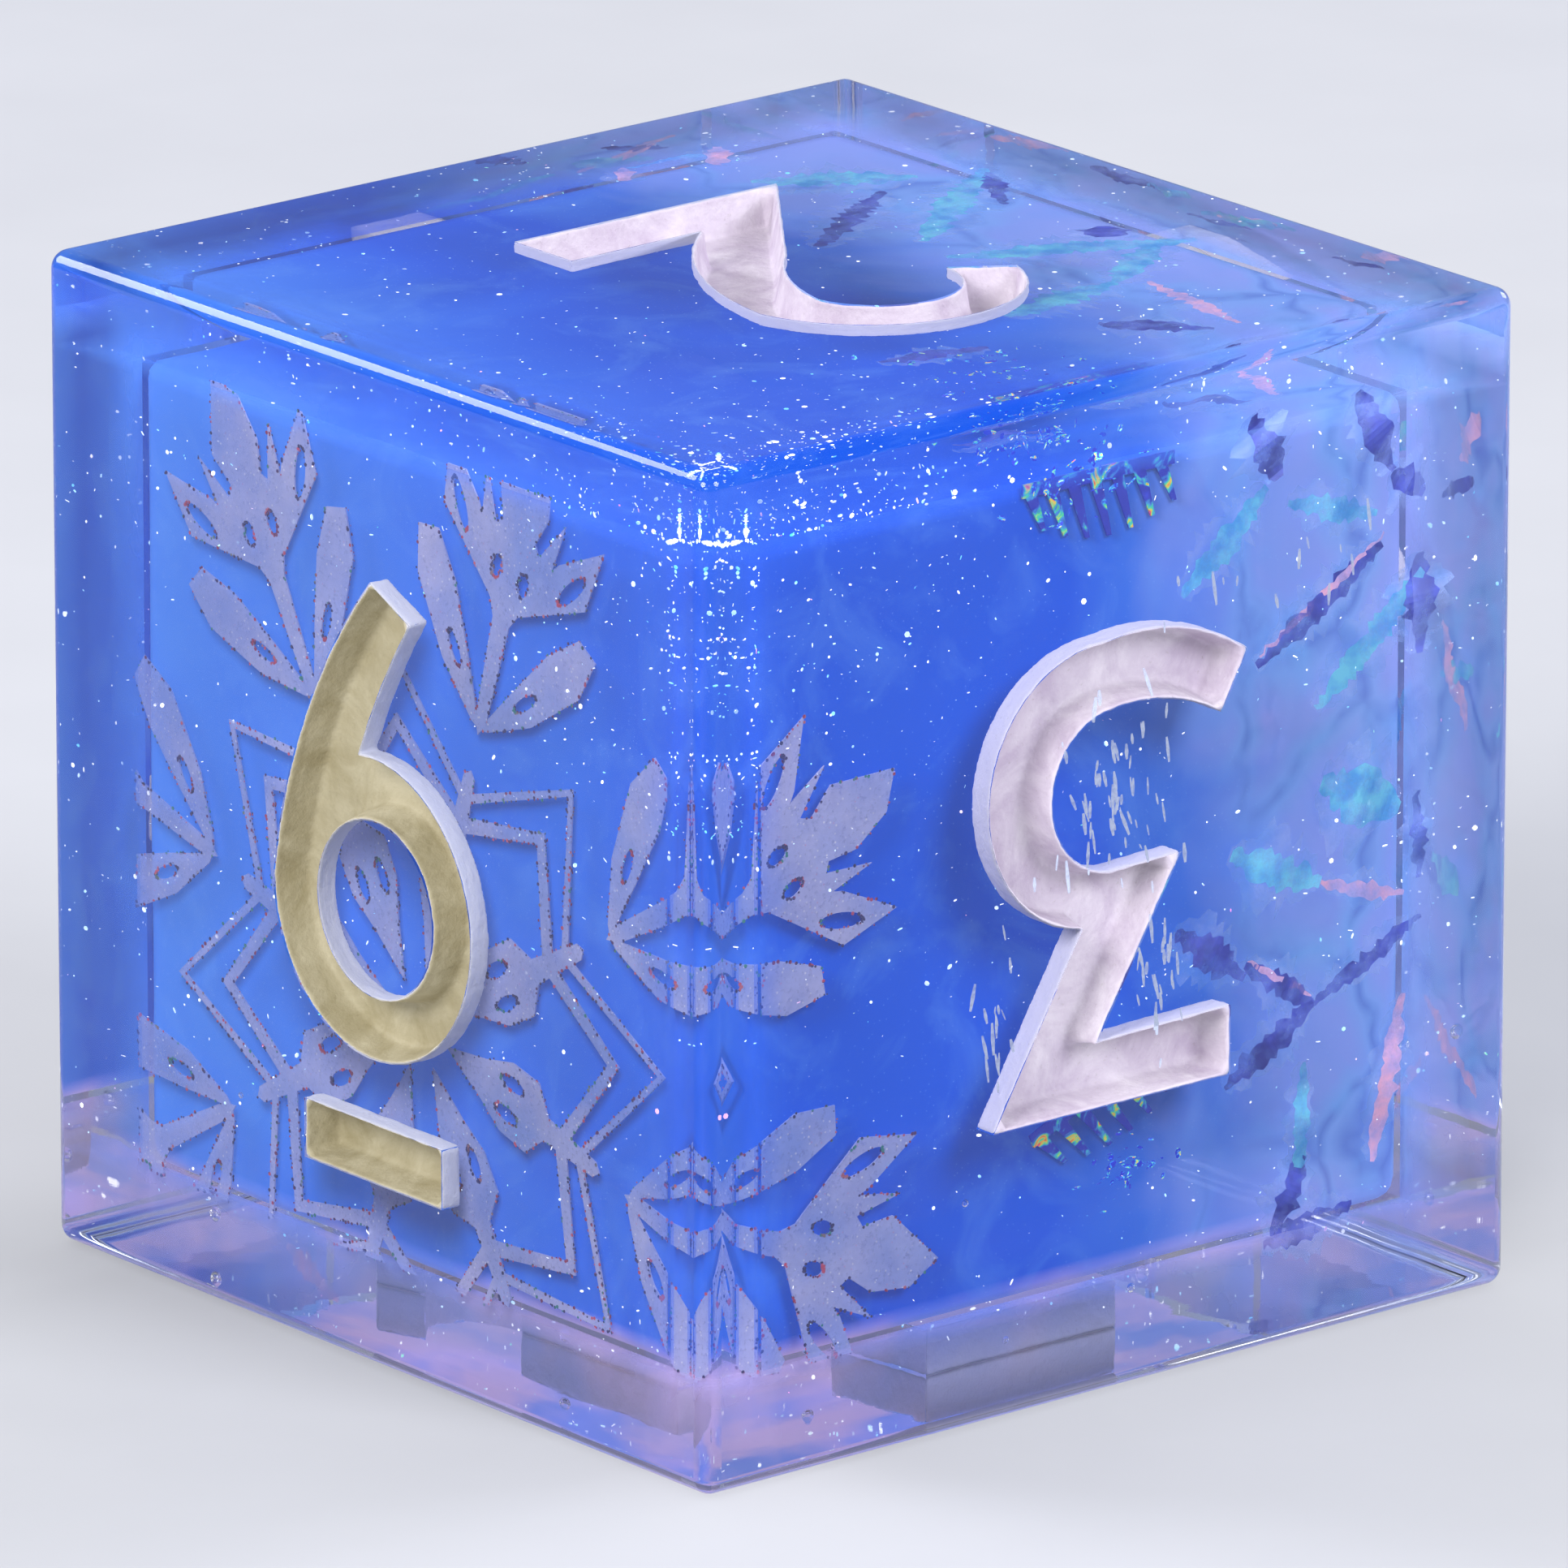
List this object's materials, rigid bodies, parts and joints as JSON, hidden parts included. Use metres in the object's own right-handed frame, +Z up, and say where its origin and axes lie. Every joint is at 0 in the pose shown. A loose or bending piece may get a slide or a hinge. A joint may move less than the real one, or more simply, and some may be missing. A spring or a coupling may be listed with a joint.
{
  "type": "six-sided resin die",
  "caption": "Cube-shaped game die of clear resin round a blue core with a snowflake film, creased foil and glitter; sunk cream numerals.",
  "frame": {"origin": "centre of the bottom face, the one with the 5", "axes": "+Z up through the face with the 2, -Y out of the face with the 3, -X out of the face with the 6"},
  "size_m": [0.016, 0.016, 0.016],
  "materials": {
    "clear_resin": "polished",
    "blue_resin": "polished, shimmering",
    "numeral_paint": "matt paint",
    "printed_film": "pearly print",
    "iridescent_foil": "iridescent",
    "glitter": "sparkling"
  },
  "bodies": {
    "root": {"clear_casting": "clear_resin", "blue_core": "blue_resin", "snowflake_film": "printed_film", "foil_sheet_1": "iridescent_foil", "foil_sheet_2": "iridescent_foil", "foil_sheet_3": "iridescent_foil", "foil_sheet_4": "iridescent_foil", "fringed_shred_upper": "iridescent_foil", "fringed_shred_lower": "iridescent_foil", "glitter": "glitter", "numeral_paint_1": "numeral_paint", "numeral_paint_2": "numeral_paint", "numeral_paint_3": "numeral_paint", "numeral_paint_4": "numeral_paint", "numeral_paint_5": "numeral_paint", "numeral_paint_6": "numeral_paint", "underline_paint_6": "numeral_paint"}
  },
  "joints": []
}
